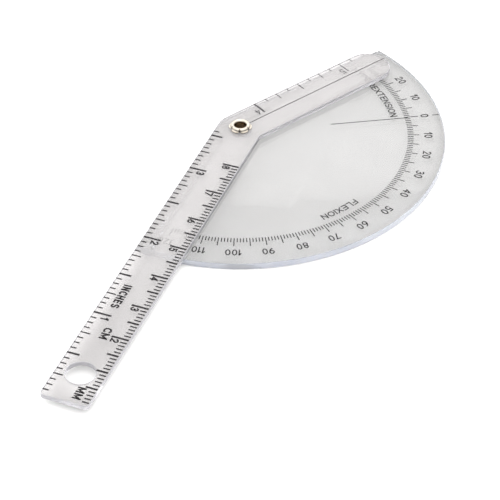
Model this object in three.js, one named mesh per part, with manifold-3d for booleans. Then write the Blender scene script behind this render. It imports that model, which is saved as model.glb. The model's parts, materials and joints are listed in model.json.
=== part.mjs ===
// A small clear-plastic finger goniometer: a printed protractor plate, a bent
// measuring arm that lies on it, and the rolled eyelet that both turn on.
// Millimetres, +Z up. +X runs along the ruler limb of the arm, from its free
// end towards the pivot.
import * as THREE from 'three';
import { mergeVertices } from 'three/addons/utils/BufferGeometryUtils.js';
import Module from 'manifold-3d';

const manifold = await Module();
manifold.setup();

const { degToRad } = THREE.MathUtils;
const quarter = Math.PI / 2;

// ---------------------------------------------------------------- dimensions

const limbWidth = 10.4; // both limbs of the arm
const halfWidth = limbWidth / 2;

// Protractor plate: a sector about the pivot whose two straight edges lie half a
// limb outside the first and last degree of its scale.
const plateThickness = 1.5;
const rimRadius = 46;
const scaleFirst = -30; // degrees of hyperextension
const scaleLast = 120; // degrees of flexion
const rimCornerRadius = 0.8;

// Measuring arm: a ruler limb and a pointer limb, bent at the pivot.
const armThickness = 1.1;
const rulerLength = 93.9; // free end to pivot
const pointerLength = 43.4; // pivot to the round tip
const bend = 30; // how far the pointer limb turns from the ruler limb's line
const armCornerRadius = 1;
const hangingHoleRadius = 3.05;
const hangingHoleInset = 8.2; // from the free end

// The pointer's hairline lies just past the first degree of the scale.
const restReading = -30.75;

// Running clearances at the pivot.
const stackGap = 0.1; // plate to arm
const boreRadius = 1.82; // through the plate and the arm

// Eyelet: a tube with a factory flange below and a rolled head above.
const tubeInnerRadius = 1.4;
const tubeOuterRadius = 1.75;
const sheet = tubeOuterRadius - tubeInnerRadius;
const flangeRadius = 2.6;
const flangeThickness = 0.3;
const recessRadius = 2.75; // the flange's seat in the plate's underside
const recessDepth = 0.4;
const seatGap = 0.05; // above and below the parts that the eyelet holds
const rollRadius = 0.55; // outside radius of the rolled head's section
const headHeight = 0.9;

const armBottom = plateThickness + stackGap;
const armTop = armBottom + armThickness;

const chordError = 0.005; // how far a facet may stand off its round face

// ------------------------------------------------------------------- helpers

// How many facets follow an arc.
function facets(radius, sweep) {
  return Math.ceil(Math.abs(sweep) / (2 * Math.acos(1 - chordError / radius)));
}

// Points along an arc about (x, y), from one angle to another.
function arc(x, y, radius, from, to) {
  const steps = facets(radius, to - from);
  return Array.from({ length: steps + 1 }, (unused, i) => {
    const angle = from + ((to - from) * i) / steps;
    return new THREE.Vector2(x + radius * Math.cos(angle), y + radius * Math.sin(angle));
  });
}

// A round hole for an outline.
function roundHole(x, y, radius) {
  return new THREE.Path(arc(x, y, radius, 2 * Math.PI, 0).slice(1));
}

// A flat outline, extruded upwards from z = 0.
function extruded(outline, thickness) {
  return new THREE.ExtrudeGeometry(outline, { depth: thickness, bevelEnabled: false });
}

// A closed profile, across by radius and up by height, turned about the Z axis.
function turned(profile) {
  const widest = Math.max(...profile.map((point) => point.x));
  const closed = [...profile, profile[0].clone()];
  return new THREE.LatheGeometry(closed, facets(widest, 2 * Math.PI)).rotateX(quarter);
}

// A closed geometry as a solid that can be cut.
function solid(geometry) {
  const plain = geometry.clone();
  plain.deleteAttribute('normal');
  plain.deleteAttribute('uv');
  const merged = mergeVertices(plain);
  const vertProperties = new Float32Array(merged.attributes.position.array);
  const triVerts = new Uint32Array(merged.index.array);
  return new manifold.Manifold(new manifold.Mesh({ numProp: 3, vertProperties, triVerts }));
}

// One geometry with another cut away.
function cut(geometry, tool) {
  const mesh = solid(geometry).subtract(solid(tool)).getMesh();
  const result = new THREE.BufferGeometry();
  result.setAttribute('position', new THREE.BufferAttribute(mesh.vertProperties, 3));
  result.setIndex(new THREE.BufferAttribute(mesh.triVerts, 1));
  result.computeVertexNormals();
  return result;
}

function named(name, geometry, material) {
  const mesh = new THREE.Mesh(geometry, material);
  mesh.name = name;
  return mesh;
}

// ----------------------------------------------------------------- materials

const clearPlastic = (color) =>
  new THREE.MeshStandardMaterial({
    color,
    roughness: 0.08,
    metalness: 0,
    transparent: true,
    opacity: 0.35,
  });
const plateMaterial = clearPlastic(0xe4e6e4);
const armMaterial = clearPlastic(0xe2e1e4);
const nickel = new THREE.MeshStandardMaterial({ color: 0xd8d3c8, roughness: 0.18, metalness: 1 });

// ---------------------------------------------------------- protractor plate

// The sector, drawn anticlockwise with the scale's zero along +X. A reading of
// the scale lies that many degrees clockwise.
function plateOutline() {
  const first = degToRad(-scaleFirst);
  const last = degToRad(-scaleLast);
  const cornerDistance = rimRadius - rimCornerRadius;
  const cornerTurn = Math.asin((halfWidth - rimCornerRadius) / cornerDistance);
  const rimStart = last - cornerTurn;
  const rimEnd = first + cornerTurn;
  const corner = (angle) => [cornerDistance * Math.cos(angle), cornerDistance * Math.sin(angle)];
  return new THREE.Shape([
    ...arc(0, 0, halfWidth, first + quarter, last + 3 * quarter),
    ...arc(...corner(rimStart), rimCornerRadius, last - quarter, rimStart),
    ...arc(0, 0, rimRadius, rimStart, rimEnd).slice(1, -1),
    ...arc(...corner(rimEnd), rimCornerRadius, rimEnd, first + quarter),
  ]);
}

function protractorPlate() {
  const outline = plateOutline();
  outline.holes.push(roundHole(0, 0, boreRadius));
  const sides = facets(recessRadius, 2 * Math.PI);
  const recess = new THREE.CylinderGeometry(recessRadius, recessRadius, 2 * recessDepth, sides);
  recess.rotateX(quarter);
  const plate = named('protractor_plate', cut(extruded(outline, plateThickness), recess), plateMaterial);
  plate.rotation.z = degToRad(restReading - bend);
  return plate;
}

// ------------------------------------------------------------- measuring arm

// The bent outline, drawn anticlockwise about the pivot: round pointer tip,
// rounded outer corner at the pivot, square free end with eased corners.
function armOutline() {
  const pointer = degToRad(-bend);
  const tipDistance = pointerLength - halfWidth;
  const tip = [tipDistance * Math.cos(pointer), tipDistance * Math.sin(pointer)];
  const innerDistance = halfWidth / Math.cos(pointer / 2);
  const innerAngle = pointer / 2 - quarter;
  const innerCorner = [innerDistance * Math.cos(innerAngle), innerDistance * Math.sin(innerAngle)];
  const endX = armCornerRadius - rulerLength;
  const endY = halfWidth - armCornerRadius;
  return new THREE.Shape([
    new THREE.Vector2(...innerCorner),
    ...arc(...tip, halfWidth, pointer - quarter, pointer + quarter),
    ...arc(0, 0, halfWidth, pointer + quarter, quarter),
    ...arc(endX, endY, armCornerRadius, quarter, 2 * quarter),
    ...arc(endX, -endY, armCornerRadius, 2 * quarter, 3 * quarter),
  ]);
}

function measuringArm() {
  const outline = armOutline();
  outline.holes.push(roundHole(0, 0, boreRadius));
  outline.holes.push(roundHole(hangingHoleInset - rulerLength, 0, hangingHoleRadius));
  const arm = named('measuring_arm', extruded(outline, armThickness), armMaterial);
  arm.position.z = armBottom;
  return arm;
}

// -------------------------------------------------------------------- eyelet

// The tube's section: round the flange, up the outside to the rolled head and
// under it to its lip on the arm, then over the roll and down the bore.
function eyeletProfile() {
  const rollRadiusInner = rollRadius - sheet;
  const rollCentre = tubeInnerRadius + rollRadius;
  const headBottom = armTop + seatGap;
  const rollHeight = headBottom + headHeight - rollRadius;
  const flangeTop = seatGap + flangeThickness;
  return [
    new THREE.Vector2(tubeInnerRadius, seatGap),
    new THREE.Vector2(flangeRadius, seatGap),
    new THREE.Vector2(flangeRadius, flangeTop),
    new THREE.Vector2(tubeOuterRadius, flangeTop),
    ...arc(rollCentre, rollHeight, rollRadiusInner, Math.PI, 0),
    new THREE.Vector2(rollCentre + rollRadiusInner, headBottom),
    new THREE.Vector2(rollCentre + rollRadius, headBottom),
    ...arc(rollCentre, rollHeight, rollRadius, 0, Math.PI),
  ];
}

function eyelet() {
  return named('eyelet', turned(eyeletProfile()), nickel);
}

// ------------------------------------------------------------------ assembly

const goniometer = new THREE.Group();
goniometer.add(protractorPlate(), measuringArm(), eyelet());

// The origin is the middle of the object's footprint, on the face it lies on.
const bounds = new THREE.Box3().setFromObject(goniometer, true);
const middle = bounds.getCenter(new THREE.Vector3());
goniometer.position.set(-middle.x, -middle.y, -bounds.min.z);

export default goniometer;
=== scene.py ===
"""The looks of a clear plastic finger goniometer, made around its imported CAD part: two clear mouldings with
eased edges, the scales, figures and words printed on them, and the rolled eyelet with its split head.
Lengths in the named values are millimetres, angles are degrees, and everything built is in metres."""

import json
import math

import bmesh
import bpy
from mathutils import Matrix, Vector
from mathutils.geometry import tessellate_polygon


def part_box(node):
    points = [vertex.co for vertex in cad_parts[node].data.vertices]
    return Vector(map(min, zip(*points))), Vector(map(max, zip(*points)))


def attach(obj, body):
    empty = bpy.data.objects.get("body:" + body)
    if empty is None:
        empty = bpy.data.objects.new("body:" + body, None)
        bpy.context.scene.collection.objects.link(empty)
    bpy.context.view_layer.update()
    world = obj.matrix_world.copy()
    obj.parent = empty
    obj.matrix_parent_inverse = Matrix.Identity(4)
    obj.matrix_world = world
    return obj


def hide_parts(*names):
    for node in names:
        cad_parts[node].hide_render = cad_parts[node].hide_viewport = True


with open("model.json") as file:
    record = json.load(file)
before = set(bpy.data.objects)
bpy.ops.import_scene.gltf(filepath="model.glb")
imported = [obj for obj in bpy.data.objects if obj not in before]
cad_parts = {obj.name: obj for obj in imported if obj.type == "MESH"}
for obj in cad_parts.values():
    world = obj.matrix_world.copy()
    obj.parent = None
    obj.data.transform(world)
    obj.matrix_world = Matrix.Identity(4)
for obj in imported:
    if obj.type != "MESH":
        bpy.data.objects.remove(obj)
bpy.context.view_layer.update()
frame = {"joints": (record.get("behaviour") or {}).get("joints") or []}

MM = 0.001
QUARTER = math.pi / 2

# ---------------------------------------------------------------------------------------- from the frame

plate_low, plate_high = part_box("protractor_plate")
arm_low, arm_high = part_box("measuring_arm")
eyelet_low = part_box("eyelet")[0]
pivot = Vector(frame["joints"][0]["pos_m"])

BEND = math.radians(30)  # from the ruler limb's line to the pointer limb
REST_READING = math.radians(-30.75)  # where the hairline stands on the degree scale
HALF_WIDTH = arm_high.y - pivot.y  # of both limbs
RULER_LENGTH = pivot.x - arm_low.x
TIP_DISTANCE = (arm_high.x - pivot.x - HALF_WIDTH) / math.cos(BEND)
RIM_RADIUS = pivot.y - plate_low.y
ZERO = REST_READING - BEND  # direction of the degree scale's zero

# ------------------------------------------------------------------------------------------- dimensions

SCALE_FIRST, SCALE_LAST = -30, 120  # degrees of hyperextension and flexion
RIM_CORNER = 0.8 * MM
ARM_CORNER = 1.0 * MM
HANGING_RADIUS = 3.05 * MM
HANGING_INSET = 8.2 * MM
BORE_RADIUS = 1.82 * MM
RECESS_RADIUS = 2.75 * MM
RECESS_DEPTH = 0.4 * MM
EASE = 0.18 * MM  # radius of the moulded edges
EASE_STEPS = 4

INK_GAP = 0.003 * MM
INK_THICKNESS = 0.012 * MM
LETTER_GAP = 0.14  # between letters, as a share of their height

# ------------------------------------------------------------------------------------------ mesh helpers


def polar(radius, angle):
    return Vector((radius * math.cos(angle), radius * math.sin(angle)))


def arc(centre, radius, start, end, degrees_per_step=6):
    """Points along an arc, both ends included."""
    steps = max(2, round(abs(math.degrees(end - start)) / degrees_per_step))
    return [centre + polar(radius, start + (end - start) * i / steps) for i in range(steps + 1)]


def circle(centre, radius, steps=72):
    return [centre + polar(radius, 2 * math.pi * i / steps) for i in range(steps)]


def finished(name, bm, materials, smooth_limit=None):
    """A scene object from a bmesh. Faces bend smoothly up to smooth_limit degrees."""
    mesh = bpy.data.meshes.new(name)
    bm.to_mesh(mesh)
    bm.free()
    for material in materials:
        mesh.materials.append(material)
    if smooth_limit:
        mesh.set_sharp_from_angle(angle=math.radians(smooth_limit))
    piece = bpy.data.objects.new(name, mesh)
    bpy.context.scene.collection.objects.link(piece)
    return piece


def eased_wall(low, high):
    """Inset and height of each ring of a wall whose two edges are rounded."""
    turns = [QUARTER * i / EASE_STEPS for i in range(EASE_STEPS + 1)]
    lower = [(EASE * (1 - math.sin(t)), low + EASE * (1 - math.cos(t))) for t in turns]
    upper = [(inset, high + low - z) for inset, z in reversed(lower)]
    return lower + upper


def slab(name, outline, holes, low, high, materials):
    """A flat moulding. outline(inset) gives its border, and holes are (centre, [(radius, height), ...]).
    The first material is for its two faces, and the second for its edges."""
    bm = bmesh.new()
    walls = [[(outline(inset), z) for inset, z in eased_wall(low, high)]]
    walls += [[(circle(centre, radius), z) for radius, z in wall] for centre, wall in holes]
    bottom, top = [], []
    for wall in walls:
        rings = [[bm.verts.new((p.x, p.y, z)) for p in points] for points, z in wall]
        for lower, upper in zip(rings, rings[1:]):
            for i in range(len(lower)):
                face = bm.faces.new((lower[i - 1], lower[i], upper[i], upper[i - 1]))
                face.smooth = True
                face.material_index = 1
        bottom.append(rings[0])
        top.append(rings[-1])
    for loops in (bottom, top):
        corners = [vertex for loop in loops for vertex in loop]
        for triangle in tessellate_polygon([[vertex.co for vertex in loop] for loop in loops]):
            bm.faces.new([corners[i] for i in triangle])
    bmesh.ops.recalc_face_normals(bm, faces=bm.faces)
    return finished(name, bm, materials, smooth_limit=50)


def stroke(bm, points, width, face):
    """A line of ink through these points on a printed face, cut square. It is a ring when its ends meet."""
    ring_shaped = (points[0] - points[-1]).length < width / 100
    if ring_shaped:
        points = points[:-1]
    steps = [(after - point).normalized() for point, after in zip(points, points[1:] + points[:1])]
    if not ring_shaped:
        steps[-1] = steps[-2]
    low, high = face + INK_GAP, face + INK_GAP + INK_THICKNESS
    sections = []
    for i, point in enumerate(points):
        onward = steps[i] + (steps[i - 1] if ring_shaped or i else steps[0])
        side = Vector((-onward.y, onward.x)).normalized() * width / max(1, onward.length)
        corners = ((point - side, low), (point + side, low), (point + side, high), (point - side, high))
        sections.append([bm.verts.new((corner.x, corner.y, z)) for corner, z in corners])
    following = sections[1:] + (sections[:1] if ring_shaped else [])
    for section, after in zip(sections, following):
        for i in range(4):
            bm.faces.new((section[i - 1], section[i], after[i], after[i - 1]))
    if not ring_shaped:
        bm.faces.new(sections[0])
        bm.faces.new(sections[-1])


# --------------------------------------------------------------------------------------------- materials


def shader(name):
    """A new material, its node tree and its Principled node."""
    material = bpy.data.materials.new(name)
    material.use_nodes = True
    tree = material.node_tree
    return material, tree, tree.nodes["Principled BSDF"]


def object_mm(tree, stretch=(1, 1, 1)):
    """The surface point in millimetres in the frame, stretched along each axis."""
    place = tree.nodes.new("ShaderNodeTexCoord")
    scaled = tree.nodes.new("ShaderNodeVectorMath")
    scaled.operation = "MULTIPLY"
    scaled.inputs[1].default_value = [s / MM for s in stretch]
    tree.links.new(place.outputs["Object"], scaled.inputs[0])
    return scaled.outputs[0]


def noise(tree, point, size, detail=2.0, roughness=0.5):
    """Soft noise whose grain is about size millimetres."""
    node = tree.nodes.new("ShaderNodeTexNoise")
    node.inputs["Scale"].default_value = 1 / size
    node.inputs["Detail"].default_value = detail
    node.inputs["Roughness"].default_value = roughness
    tree.links.new(point, node.inputs["Vector"])
    return node.outputs["Fac"]


def between(tree, factor, low, high, start=0.3, end=0.7):
    """A number that goes from low to high as factor goes from start to end."""
    node = tree.nodes.new("ShaderNodeMapRange")
    node.inputs["From Min"].default_value = start
    node.inputs["From Max"].default_value = end
    node.inputs["To Min"].default_value = low
    node.inputs["To Max"].default_value = high
    tree.links.new(factor, node.inputs["Value"])
    return node.outputs["Result"]


def tints(tree, factor, low, high, start=0.3, end=0.7):
    """A colour that goes from low to high as factor goes from start to end."""
    node = tree.nodes.new("ShaderNodeValToRGB")
    node.color_ramp.elements[0].position = start
    node.color_ramp.elements[0].color = (*low, 1)
    node.color_ramp.elements[1].position = end
    node.color_ramp.elements[1].color = (*high, 1)
    tree.links.new(factor, node.inputs["Fac"])
    return node.outputs["Color"]


def bump(tree, height, depth):
    """Relief of depth millimetres."""
    node = tree.nodes.new("ShaderNodeBump")
    node.inputs["Strength"].default_value = 1.0
    node.inputs["Distance"].default_value = depth * MM
    tree.links.new(height, node.inputs["Height"])
    return node.outputs["Normal"]


def clear_plastic(name, low, high, see_through, passed):
    """Polished clear plastic, a little uneven in tint, gloss and flatness, and darker along its depth.
    The share see_through of a surface is clear and the rest is haze. Each surface lets the share passed of
    the light that falls on other things go straight on."""
    material, tree, principled = shader(name)
    principled.inputs["IOR"].default_value = CLEAR_IOR
    principled.inputs["Transmission Weight"].default_value = see_through
    point = object_mm(tree)
    cloud = noise(tree, point, size=9)
    smear = noise(tree, object_mm(tree, (0.25, 1, 1)), size=2.2, detail=4, roughness=0.65)
    tree.links.new(tints(tree, cloud, low, high), principled.inputs["Base Color"])
    tree.links.new(between(tree, smear, 0.01, 0.045), principled.inputs["Roughness"])
    waves = bump(tree, noise(tree, point, size=11, detail=1), depth=0.03)
    tree.links.new(waves, principled.inputs["Normal"])
    shadow = tree.nodes.new("ShaderNodeBsdfTransparent")
    shadow.inputs["Color"].default_value = (passed, passed, passed, 1)
    ray = tree.nodes.new("ShaderNodeLightPath")
    surface = tree.nodes.new("ShaderNodeMixShader")
    tree.links.new(ray.outputs["Is Shadow Ray"], surface.inputs[0])
    tree.links.new(principled.outputs["BSDF"], surface.inputs[1])
    tree.links.new(shadow.outputs["BSDF"], surface.inputs[2])
    depth = tree.nodes.new("ShaderNodeVolumeAbsorption")
    depth.inputs["Color"].default_value = DEPTH_TINT
    depth.inputs["Density"].default_value = DEPTH_DENSITY
    output = tree.nodes["Material Output"]
    tree.links.new(surface.outputs["Shader"], output.inputs["Surface"])
    tree.links.new(depth.outputs["Volume"], output.inputs["Volume"])
    return material


def ink(name, dark, light):
    """Pad-printed ink: a matt film, thinner in places."""
    material, tree, principled = shader(name)
    point = object_mm(tree)
    patchy = noise(tree, point, size=0.35, detail=3)
    tree.links.new(tints(tree, patchy, dark, light), principled.inputs["Base Color"])
    tree.links.new(between(tree, patchy, 0.55, 0.8), principled.inputs["Roughness"])
    principled.inputs["Specular IOR Level"].default_value = 0.12
    grain = bump(tree, noise(tree, point, size=0.12), depth=0.004)
    tree.links.new(grain, principled.inputs["Normal"])
    return material


def nickel(name, low, high, smooth, rough):
    """Bright nickel plate with a fine drawn grain."""
    material, tree, principled = shader(name)
    principled.inputs["Metallic"].default_value = 1.0
    point = object_mm(tree)
    cloud = noise(tree, point, size=0.8, detail=3)
    tree.links.new(tints(tree, cloud, low, high), principled.inputs["Base Color"])
    scuffs = noise(tree, object_mm(tree, (1, 1, 4)), size=0.15, detail=5, roughness=0.7)
    tree.links.new(between(tree, scuffs, smooth, rough), principled.inputs["Roughness"])
    tree.links.new(bump(tree, scuffs, depth=0.006), principled.inputs["Normal"])
    return material


CLEAR_IOR = 1.49
DEPTH_TINT = (0.30, 0.38, 0.50, 1)  # the plastic takes least blue from light that goes a long way inside it
DEPTH_DENSITY = 7

plate_plastic = clear_plastic("plate_plastic", (0.925, 0.92, 0.915), (0.955, 0.95, 0.945), 0.93, 0.99)
# The edge materials are hazier, bluish-grey copies of the same plastic: their colour is painted shade and
# glow for the tone that light gathered along the plastic's depth gives its edges.
plate_edge_painted_shade = clear_plastic("plate_edge_painted_shade", (0.62, 0.64, 0.71), (0.82, 0.84, 0.90), 0.62, 0.99)
arm_plastic = clear_plastic("arm_plastic", (0.66, 0.645, 0.645), (0.69, 0.675, 0.675), 0.77, 0.95)
# Painted shade for the arm's edges, as for the plate's.
arm_edge_painted_shade = clear_plastic("arm_edge_painted_shade", (0.85, 0.84, 0.88), (0.89, 0.88, 0.92), 0.64, 0.95)
black_ink = ink("black_ink", (0.012, 0.011, 0.012), (0.035, 0.032, 0.034))
grey_ink = ink("grey_ink", (0.020, 0.019, 0.020), (0.045, 0.043, 0.044))
pale_ink = ink("pale_ink", (0.06, 0.058, 0.06), (0.11, 0.105, 0.11))
bright_nickel = nickel("bright_nickel", (0.50, 0.46, 0.40), (0.62, 0.57, 0.50), 0.08, 0.2)
# Darker, browner, rougher nickel for the inside of the tube: painted shade for the shade deep in the bore.
bore_nickel_painted_shade = nickel("bore_nickel_painted_shade", (0.24, 0.18, 0.12), (0.40, 0.30, 0.19), 0.3, 0.5)

# ------------------------------------------------------------------------------------- the two mouldings


def bore_wall(low, high, recessed):
    """Radius and height of each ring of the pivot hole."""
    wall = [(BORE_RADIUS + inset, z) for inset, z in eased_wall(low, high)]
    if not recessed:
        return wall
    upper = [ring for ring in wall if ring[1] > low + RECESS_DEPTH]
    seat = low + RECESS_DEPTH
    return [(RECESS_RADIUS, low), (RECESS_RADIUS, seat), (BORE_RADIUS, seat)] + upper


def plate_outline(inset):
    """The sector, anticlockwise: round the pivot, then along the rim between its two small corners."""
    first = ZERO - math.radians(SCALE_FIRST)
    last = ZERO - math.radians(SCALE_LAST)
    corner_distance = RIM_RADIUS - RIM_CORNER
    corner_turn = math.asin((HALF_WIDTH - RIM_CORNER) / corner_distance)
    centre = pivot.xy
    start, end = last - corner_turn, first + corner_turn
    start_corner = centre + polar(corner_distance, start)
    end_corner = centre + polar(corner_distance, end)
    return (
        arc(centre, HALF_WIDTH - inset, first + QUARTER, last + 3 * QUARTER, 3)
        + arc(start_corner, RIM_CORNER - inset, last - QUARTER, start, 12)
        + arc(centre, RIM_RADIUS - inset, start, end, 1)[1:-1]
        + arc(end_corner, RIM_CORNER - inset, end, first + QUARTER, 12)
    )


def arm_outline(inset):
    """The bent arm, anticlockwise: inner corner, round pointer tip, outer corner, square free end."""
    centre = pivot.xy
    half = HALF_WIDTH - inset
    tip = centre + polar(TIP_DISTANCE, -BEND)
    inner_corner = centre + polar(half / math.cos(BEND / 2), -BEND / 2 - QUARTER)
    end_x = centre.x - RULER_LENGTH + ARM_CORNER
    upper_corner = Vector((end_x, centre.y + HALF_WIDTH - ARM_CORNER))
    lower_corner = Vector((end_x, centre.y - HALF_WIDTH + ARM_CORNER))
    return (
        [inner_corner]
        + arc(tip, half, -BEND - QUARTER, QUARTER - BEND, 3)
        + arc(centre, half, QUARTER - BEND, QUARTER, 3)
        + arc(upper_corner, ARM_CORNER - inset, QUARTER, 2 * QUARTER)
        + arc(lower_corner, ARM_CORNER - inset, 2 * QUARTER, 3 * QUARTER)
    )


def make_plate():
    bore = (pivot.xy, bore_wall(plate_low.z, plate_high.z, recessed=True))
    materials = [plate_plastic, plate_edge_painted_shade]
    plate = slab("clear_protractor", plate_outline, [bore], plate_low.z, plate_high.z, materials)
    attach(plate, "protractor")
    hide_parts("protractor_plate")


def make_arm():
    bore = (pivot.xy, bore_wall(arm_low.z, arm_high.z, recessed=False))
    hanging_centre = pivot.xy + Vector((HANGING_INSET - RULER_LENGTH, 0))
    hanging_wall = [(HANGING_RADIUS + inset, z) for inset, z in eased_wall(arm_low.z, arm_high.z)]
    holes = [bore, (hanging_centre, hanging_wall)]
    arm = slab("clear_arm", arm_outline, holes, arm_low.z, arm_high.z, [arm_plastic, arm_edge_painted_shade])
    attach(arm, "arm")
    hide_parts("measuring_arm")


make_plate()
make_arm()

# ------------------------------------------------------------------------------------------------ eyelet

SHEET = 0.32  # thickness of the eyelet's metal
PETALS = 6
PETAL_COLUMNS = 12
FIRST_SLIT = 17  # direction of one of the slits
SLIT_SHARE = 0.2  # how much of a petal's width is open at its outer edge
# Middle of the sheet, radius by height: the flange and the tube are above the underside of the eyelet, and
# the head is above the arm's face.
FLANGE_AND_TUBE = [
    (2.45, 0.17), (2.1, 0.17), (1.8, 0.17), (1.60, 0.22), (1.46, 0.38), (1.46, 0.9), (1.46, 1.6),
]
HEAD = [
    (1.46, 0.10), (1.46, 0.40), (1.49, 0.60), (1.58, 0.75), (1.74, 0.81), (1.90, 0.77), (2.01, 0.64),
    (2.06, 0.48), (2.10, 0.33), (2.18, 0.22), (2.32, 0.17), (2.44, 0.17), (2.54, 0.17),
]
CROWN_ROW = 4  # the row of the head at its top; the slits start one row further out
SLIT_OPENING = 1.6  # how fast the slits reach their full width on the way to the lip
CORNER_DRAW, CORNER_LIFT = 0.2, 0.05  # how far in and up the outer corners of a petal go
PETAL_SWELL = 0.05  # how far out the middle of a petal goes
# Painted shade inside the tube: faces up to this far above the arm's face, and this far from the axis, get a
# darker, rougher nickel that paints the shade deep in the tube.
PAINTED_SHADE_TOP, PAINTED_SHADE_RADIUS = 0.25, 1.7


def eyelet_rows():
    """Radius, height and share of the way from crown to lip, for each row of the sheet."""
    rows = [(radius * MM, eyelet_low.z + height * MM, 0) for radius, height in FLANGE_AND_TUBE]
    for i, (radius, height) in enumerate(HEAD):
        share = max(0, i - CROWN_ROW) / (len(HEAD) - 1 - CROWN_ROW)
        rows.append((radius * MM, arm_high.z + height * MM, share))
    return rows


def petal_point(row, across):
    """A point of one petal, across from -1 to 1 between its slits. Its outer corners are rounded."""
    radius, height, share = row
    narrowed = across * (1 - SLIT_SHARE * min(1, SLIT_OPENING * share))
    drawn_in = share**2 * abs(across) ** 4
    radius -= CORNER_DRAW * MM * drawn_in
    height += CORNER_LIFT * MM * drawn_in
    swell = PETAL_SWELL * MM * share * (1 - across**2)
    return radius + swell, height, narrowed * math.pi / PETALS


def make_eyelet():
    bm = bmesh.new()
    rows = eyelet_rows()
    for petal in range(PETALS):
        middle = math.radians(FIRST_SLIT) + (petal + 0.5) * 2 * math.pi / PETALS
        grid = []
        for row in rows:
            line = []
            for i in range(PETAL_COLUMNS + 1):
                radius, height, turn = petal_point(row, 2 * i / PETAL_COLUMNS - 1)
                place = pivot.xy + polar(radius, middle + turn)
                line.append(bm.verts.new((place.x, place.y, height)))
            grid.append(line)
        for inner, outer in zip(grid, grid[1:]):
            for i in range(PETAL_COLUMNS):
                face = bm.faces.new((inner[i], inner[i + 1], outer[i + 1], outer[i]))
                face.smooth = True
                middle_point = face.calc_center_median()
                # Faces deep in the tube take the second material, which paints the shade there.
                low_enough = middle_point.z < arm_high.z + PAINTED_SHADE_TOP * MM
                narrow = (middle_point.xy - pivot.xy).length < PAINTED_SHADE_RADIUS * MM
                face.material_index = 1 if low_enough and narrow else 0
    bmesh.ops.remove_doubles(bm, verts=bm.verts, dist=0.001 * MM)
    bmesh.ops.recalc_face_normals(bm, faces=bm.faces)
    eyelet = finished("rolled_eyelet", bm, [bright_nickel, bore_nickel_painted_shade])
    solid = eyelet.modifiers.new("sheet", "SOLIDIFY")
    solid.thickness = SHEET * MM
    solid.offset = 0
    rounded = eyelet.modifiers.new("rounded", "SUBSURF")
    rounded.levels = 2
    rounded.render_levels = 2
    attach(eyelet, "protractor")
    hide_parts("eyelet")


make_eyelet()

# -------------------------------------------------------------------------------------------- lettering


def bow(x, y, across, up, start, end):
    """Points round an ellipse about (x, y), from one direction to another."""
    steps = math.ceil(abs(end - start) / 18)
    turns = [math.radians(start + (end - start) * i / steps) for i in range(steps + 1)]
    return [(x + across * math.cos(t), y + up * math.sin(t)) for t in turns]


STEM_AND_BOWL = [(0, 0), (0, 1), (0.22, 1)] + bow(0.22, 0.74, 0.26, 0.26, 72, -90) + [(0, 0.48)]

# The middle lines of each letter's strokes, on a square from baseline to cap height.
LETTERS = {
    "0": [bow(0.27, 0.5, 0.27, 0.5, 0, 360)],
    "1": [[(0.22, 0), (0.22, 1)], [(0.22, 1), (0, 0.74)]],
    "2": [bow(0.26, 0.73, 0.25, 0.27, 165, -35) + [(0, 0), (0.52, 0)]],
    "3": [bow(0.25, 0.755, 0.24, 0.245, 150, -90), bow(0.24, 0.26, 0.27, 0.26, 90, -150)],
    "4": [[(0.42, 0), (0.42, 1)], [(0.42, 1), (0, 0.3), (0.58, 0.3)]],
    "5": [[(0.48, 1), (0.08, 1)] + bow(0.26, 0.32, 0.27, 0.32, 140, -145)],
    "6": [bow(0.27, 0.3, 0.27, 0.3, 0, 360), bow(0.5, 0.3, 0.5, 0.7, 180, 105)],
    "7": [[(0, 1), (0.5, 1), (0.16, 0)]],
    "8": [bow(0.27, 0.76, 0.23, 0.24, 0, 360), bow(0.27, 0.26, 0.27, 0.26, 0, 360)],
    "9": [bow(0.27, 0.7, 0.27, 0.3, 0, 360), bow(0.04, 0.7, 0.5, 0.7, 0, -75)],
    "C": [bow(0.28, 0.5, 0.28, 0.5, 50, 310)],
    "E": [[(0.42, 1), (0, 1), (0, 0), (0.42, 0)], [(0, 0.52), (0.38, 0.52)]],
    "F": [[(0.42, 1), (0, 1), (0, 0)], [(0, 0.52), (0.38, 0.52)]],
    "H": [[(0, 0), (0, 1)], [(0.48, 0), (0.48, 1)], [(0, 0.52), (0.48, 0.52)]],
    "I": [[(0, 0), (0, 1)]],
    "L": [[(0, 1), (0, 0), (0.4, 0)]],
    "M": [[(0, 0), (0, 1)], [(0.62, 0), (0.62, 1)], [(0, 1), (0.31, 0.2), (0.62, 1)]],
    "N": [[(0, 0), (0, 1)], [(0.48, 0), (0.48, 1)], [(0, 1), (0.48, 0)]],
    "O": [bow(0.29, 0.5, 0.29, 0.5, 0, 360)],
    "P": [STEM_AND_BOWL],
    "R": [STEM_AND_BOWL, [(0.22, 0.48), (0.48, 0)]],
    "S": [bow(0.26, 0.745, 0.24, 0.255, 35, 270) + bow(0.26, 0.245, 0.25, 0.245, 72, -145)],
    "T": [[(0.25, 0), (0.25, 1)], [(0, 1), (0.5, 1)]],
    "X": [[(0, 0), (0.48, 1)], [(0, 1), (0.48, 0)]],
    "Y": [[(0.25, 0), (0.25, 0.45)], [(0, 1), (0.25, 0.45), (0.5, 1)]],
}


def letter_width(letter):
    return max(x for line in LETTERS[letter] for x, y in line)


def lengthened(points, extra):
    """The same line, with both ends carried on by extra, unless they meet."""
    first, last = points[0], points[-1]
    if (first - last).length < extra / 100:
        return points
    before = first + (first - points[1]).normalized() * extra
    after = last + (last - points[-2]).normalized() * extra
    return [before] + points[1:-1] + [after]


def fitted(text, length, height, pen):
    """How wide a letter's square has to be for the text to come out this long."""
    inked = len(text) * pen + (len(text) - 1) * LETTER_GAP * height
    return (length - inked) / sum(letter_width(letter) for letter in text)


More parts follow.
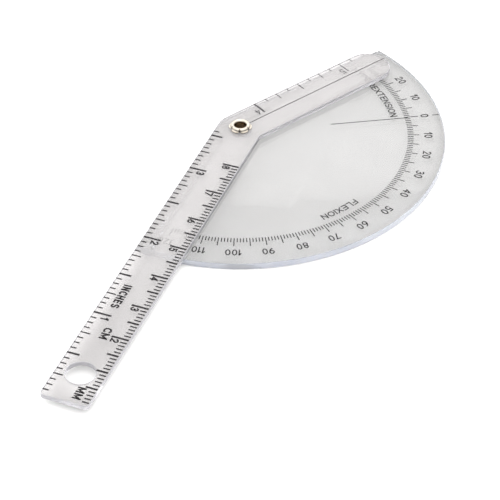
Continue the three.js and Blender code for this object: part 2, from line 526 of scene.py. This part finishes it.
def write(bm, text, middle, along, height, pen, face, square=None):
    """Adds text drawn with a pen this wide. The middle of its baseline is given, and its tops are to the
    left of the direction along. A letter's square is as wide as it is tall, or else square wide."""
    across = Vector((-along.y, along.x))
    tall = height - pen
    wide = square or tall
    widths = [letter_width(letter) * wide + pen for letter in text]
    gap = LETTER_GAP * height
    corner = middle - along * (sum(widths) + gap * (len(text) - 1)) / 2 + (along + across) * pen / 2
    for letter, width in zip(text, widths):
        for line in LETTERS[letter]:
            points = [corner + along * x * wide + across * y * tall for x, y in line]
            stroke(bm, lengthened(points, pen / 2), pen, face)
        corner += along * (width + gap)


def printed(name, bm, material, body):
    """Makes a piece of the ink in bm, which moves with a body."""
    bmesh.ops.recalc_face_normals(bm, faces=bm.faces)
    piece = finished(name, bm, [material])
    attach(piece, body)


# ------------------------------------------------------------------------------------- the degree scale

TICK_INNER = 37.6 * MM
TICK_WIDTH = 0.22 * MM
DEGREE_TICK, FIVE_TICK, ZERO_TICK = 1.3 * MM, 2.6 * MM, 3.1 * MM
NUMERAL_BASE = 41.3 * MM
NUMERAL_HEIGHT = 1.9 * MM
NUMERAL_PEN = 0.28 * MM
WORD_BASE = 34.5 * MM
WORD_HEIGHT = 1.65 * MM
WORD_PEN = 0.26 * MM
ZERO_LINE = (20.7 * MM, 38.4 * MM)
ZERO_LINE_DRIFT = 0.2 * MM  # the long line is printed a little to the flexion side of the zero tick
RIM_MARK = (44.0 * MM, 45.6 * MM)


def at_reading(radius, reading):
    """The point at this distance from the pivot, on a reading of the degree scale."""
    return pivot.xy + polar(radius, ZERO - math.radians(reading))


def clockwise(reading):
    """The direction in which the readings grow."""
    return polar(1, ZERO - math.radians(reading) - QUARTER)


def degree_ticks():
    bm = bmesh.new()
    for degree in range(SCALE_FIRST, SCALE_LAST + 1):
        length = ZERO_TICK if degree == 0 else FIVE_TICK if degree % 5 == 0 else DEGREE_TICK
        ends = [at_reading(TICK_INNER, degree), at_reading(TICK_INNER + length, degree)]
        stroke(bm, ends, TICK_WIDTH, plate_high.z)
    drift = clockwise(0) * ZERO_LINE_DRIFT
    stroke(bm, [at_reading(radius, 0) + drift for radius in ZERO_LINE], TICK_WIDTH, plate_high.z)
    stroke(bm, [at_reading(radius, 0) for radius in RIM_MARK], TICK_WIDTH, plate_high.z)
    printed("degree_scale", bm, grey_ink, "protractor")


def degree_numerals():
    bm = bmesh.new()
    for degree in range(SCALE_FIRST, SCALE_LAST + 1, 10):
        base = at_reading(NUMERAL_BASE, degree)
        write(bm, str(abs(degree)), base, clockwise(degree), NUMERAL_HEIGHT, NUMERAL_PEN, plate_high.z)
    printed("degree_numerals", bm, grey_ink, "protractor")


def curved_word(bm, word, first, last):
    """A word bent round the pivot between two readings, one letter at a time."""
    radius = WORD_BASE + WORD_HEIGHT / 2
    wide = fitted(word, math.radians(last - first) * radius, WORD_HEIGHT, WORD_PEN)
    reached = 0.0
    for letter in word:
        width = letter_width(letter) * wide + WORD_PEN
        reading = first + math.degrees((reached + width / 2) / radius)
        base = at_reading(WORD_BASE, reading)
        write(bm, letter, base, clockwise(reading), WORD_HEIGHT, WORD_PEN, plate_high.z, wide)
        reached += width + LETTER_GAP * WORD_HEIGHT


def movement_words():
    bm = bmesh.new()
    curved_word(bm, "HYPEREXTENSION", -33.5, -1)
    curved_word(bm, "FLEXION", 53, 68.5)
    printed("movement_words", bm, grey_ink, "protractor")


degree_ticks()
degree_numerals()
movement_words()

# -------------------------------------------------------------------------------- the arm's ruler scales

INCH = 25.4 * MM
EDGE_MARGIN = 0.16 * MM
THIN, BOLD = 0.35 * MM, 0.50 * MM
MM_TICKS = {"unit": 1.45 * MM, "half": 2.5 * MM, "whole": 3.75 * MM}
INCH_TICKS = {"unit": 1.3 * MM, "quarter": 2.1 * MM, "half": 2.7 * MM, "whole": 3.9 * MM}
FIGURE_HEIGHT, FIGURE_PEN = 1.85 * MM, 0.37 * MM
UNIT_HEIGHT, UNIT_PEN = 1.85 * MM, 0.40 * MM
# How far a figure's middle stands before its tick, and its baseline from the inch edge.
INCH_FIGURE = (1.15 * MM, 2.2 * MM)
CENTIMETRE_FIGURE = (0.98 * MM, 6.65 * MM)
POINTER_FIGURE = (0.9 * MM, 2.3 * MM)
# Each unit's name, its middle from the free end, its baseline from the inch edge, and its length.
UNIT_NAMES = [("INCHES", 31.6, 2.55, 7.4), ("CM", 20.3, 4.2, 3.4), ("MM", 2.9, 6.4, 3.4)]
POINTER_LINE, POINTER_PEN = 0.24 * MM, 0.22 * MM
POINTER_SHIFT = 0.3 * MM  # of the pointer limb's ticks, towards the tip
HAIRLINE_WIDTH = 0.19 * MM


def on_ruler(from_end, from_inch_edge):
    """A point of the ruler limb, by its distances from the free end and from the inch edge."""
    return pivot.xy + Vector((from_end - RULER_LENGTH, HALF_WIDTH - from_inch_edge))


def ruler_tick(bm, from_end, edge, length, width):
    """A tick that starts at one edge of the ruler limb: 0 is the inch edge, and 1 the millimetre edge."""
    starts = EDGE_MARGIN if edge == 0 else 2 * HALF_WIDTH - EDGE_MARGIN
    ends = starts + length if edge == 0 else starts - length
    stroke(bm, [on_ruler(from_end, starts), on_ruler(from_end, ends)], width, arm_high.z)


def millimetre_scale():
    bm = bmesh.new()
    for i in range(1, 81):
        kind = "whole" if i % 10 == 0 else "half" if i % 5 == 0 else "unit"
        # The 1 cm mark stops short of the hanging hole.
        length = MM_TICKS["half"] if i == 10 else MM_TICKS[kind]
        ruler_tick(bm, i * MM, 1, length, THIN if kind == "unit" else BOLD)
    printed("millimetre_scale", bm, black_ink, "arm")


def inch_kind(sixteenths):
    for step, kind in ((16, "whole"), (8, "half"), (4, "quarter")):
        if sixteenths % step == 0:
            return kind
    return "unit"


def inch_scale():
    bm = bmesh.new()
    for i in range(1, 58):
        kind = inch_kind(i)
        width = BOLD if kind in ("whole", "half") else THIN
        ruler_tick(bm, i * INCH / 16, 0, INCH_TICKS[kind], width)
    printed("inch_scale", bm, black_ink, "arm")


def ruler_figures():
    """Figures and words that read towards the free end, with their tops to the millimetre edge."""
    bm = bmesh.new()
    towards_end = Vector((-1, 0))
    before, baseline = INCH_FIGURE
    for inches in range(1, 4):
        base = on_ruler(inches * INCH - before, baseline)
        write(bm, str(inches), base, towards_end, FIGURE_HEIGHT, FIGURE_PEN, arm_high.z)
    before, baseline = CENTIMETRE_FIGURE
    for centimetres in range(2, 9):
        base = on_ruler(10 * centimetres * MM - before, baseline)
        write(bm, str(centimetres), base, towards_end, FIGURE_HEIGHT, FIGURE_PEN, arm_high.z)
    for word, middle, baseline, length in UNIT_NAMES:
        place = on_ruler(middle * MM, baseline * MM)
        wide = fitted(word, length * MM, UNIT_HEIGHT, UNIT_PEN)
        write(bm, word, place, towards_end, UNIT_HEIGHT, UNIT_PEN, arm_high.z, wide)
    printed("ruler_figures", bm, black_ink, "arm")


def on_pointer(from_pivot, from_outer_edge):
    """A point of the pointer limb, by its distances from the pivot and from the outer edge."""
    along = polar(from_pivot, -BEND)
    return pivot.xy + along + polar(HALF_WIDTH - from_outer_edge, QUARTER - BEND)


def pointer_scale():
    """The inch scale carried on round the bend, along the outer edge of the pointer limb."""
    bm = bmesh.new()
    for eighths in range(32, 42):
        from_pivot = eighths * INCH / 8 - RULER_LENGTH + POINTER_SHIFT
        length = INCH_TICKS[inch_kind(2 * eighths)]
        ends = [on_pointer(from_pivot, EDGE_MARGIN), on_pointer(from_pivot, EDGE_MARGIN + length)]
        stroke(bm, ends, BOLD if eighths == 32 else POINTER_LINE, arm_high.z)
    before, baseline = POINTER_FIGURE
    for inches in (4, 5):
        base = on_pointer(inches * INCH - RULER_LENGTH - before, baseline)
        write(bm, str(inches), base, polar(-1, -BEND), FIGURE_HEIGHT, POINTER_PEN, arm_high.z)
    printed("pointer_inch_scale", bm, pale_ink, "arm")


def hairline():
    bm = bmesh.new()
    start, end = 2.7 * MM, TIP_DISTANCE + HALF_WIDTH - EDGE_MARGIN
    stroke(bm, [pivot.xy + polar(radius, -BEND) for radius in (start, end)], HAIRLINE_WIDTH, arm_high.z)
    printed("hairline", bm, black_ink, "arm")


millimetre_scale()
inch_scale()
ruler_figures()
pointer_scale()
hairline()

# ------------------------------------------------------------------------------- camera, floor and light

VIEW_AZIMUTH = math.radians(-68.97)
VIEW_ELEVATION = math.radians(40.03)
VIEW_DISTANCE = 423.1 * MM
VIEW_LENS = 146.1  # on a sensor 36 mm wide
AIM = Vector((-13.13, 2.70, 2.70)) * MM
FLOOR_DROP = 0.05 * MM
FLOOR_RADIUS = 2500 * MM
LIGHT_BOUNCES = 48
# Brightness of the studio: overhead, and at the horizon in front of the object and behind it.
OVERHEAD, HORIZON_FRONT, HORIZON_BACK = 2.1, 0.25, 1.5


def towards_camera(turn=0.0, elevation=0.0):
    """A unit vector from the object, turned from the camera's side, at an elevation."""
    azimuth = VIEW_AZIMUTH + turn
    flat = Vector((math.sin(azimuth), -math.cos(azimuth), 0))
    return flat * math.cos(elevation) + Vector((0, 0, math.sin(elevation)))


def make_camera():
    data = bpy.data.cameras.new("camera")
    data.lens = VIEW_LENS
    data.sensor_width = 36
    data.clip_start = 0.01
    camera = bpy.data.objects.new("camera", data)
    back = towards_camera(elevation=VIEW_ELEVATION)
    camera.location = AIM + back * VIEW_DISTANCE
    camera.rotation_mode = "QUATERNION"
    camera.rotation_quaternion = (-back).to_track_quat("-Z", "Y")
    bpy.context.scene.collection.objects.link(camera)
    bpy.context.scene.camera = camera


def make_floor():
    material, tree, principled = shader("white_paper")
    cloud = noise(tree, object_mm(tree), size=40)
    white = tints(tree, cloud, (0.90, 0.90, 0.90), (0.92, 0.92, 0.92))
    tree.links.new(white, principled.inputs["Base Color"])
    principled.inputs["Roughness"].default_value = 0.9
    principled.inputs["Specular IOR Level"].default_value = 0.2
    bm = bmesh.new()
    bmesh.ops.create_circle(bm, cap_ends=True, segments=96, radius=FLOOR_RADIUS)
    floor = finished("floor", bm, [material])
    floor.location.z = -FLOOR_DROP


def along_direction(tree, direction):
    """How far the sky's direction points along another one, from -1 to 1."""
    place = tree.nodes.new("ShaderNodeTexCoord")
    product = tree.nodes.new("ShaderNodeVectorMath")
    product.operation = "DOT_PRODUCT"
    product.inputs[1].default_value = direction
    tree.links.new(place.outputs["Generated"], product.inputs[0])
    return product.outputs["Value"]


def make_world():
    """A pale studio: a wide soft light overhead and behind, and a dimmer horizon in front."""
    world = bpy.data.worlds.new("studio")
    world.use_nodes = True
    tree = world.node_tree
    background = tree.nodes["Background"]
    height = along_direction(tree, (0, 0, 1))
    behind = along_direction(tree, towards_camera(turn=math.pi))
    horizon = between(tree, behind, HORIZON_FRONT, HORIZON_BACK, start=-0.4, end=0.6)
    strength = between(tree, height, 0, OVERHEAD, start=0.15, end=0.6)
    tree.links.new(horizon, strength.node.inputs["To Min"])
    tree.links.new(strength, background.inputs["Strength"])
    background.inputs["Color"].default_value = (1.0, 0.995, 0.99, 1)
    bpy.context.scene.world = world


make_camera()
make_floor()
make_world()
bpy.context.scene.view_settings.view_transform = "Standard"
# Light runs a long way inside clear plastic before it leaves by an edge.
cycles = bpy.context.scene.cycles
cycles.max_bounces = LIGHT_BOUNCES
cycles.glossy_bounces = LIGHT_BOUNCES
cycles.transmission_bounces = LIGHT_BOUNCES
cycles.diffuse_bounces = 8
# Shadow rays go straight through the plastic instead, without the grain of refracted caustics.
cycles.caustics_refractive = False
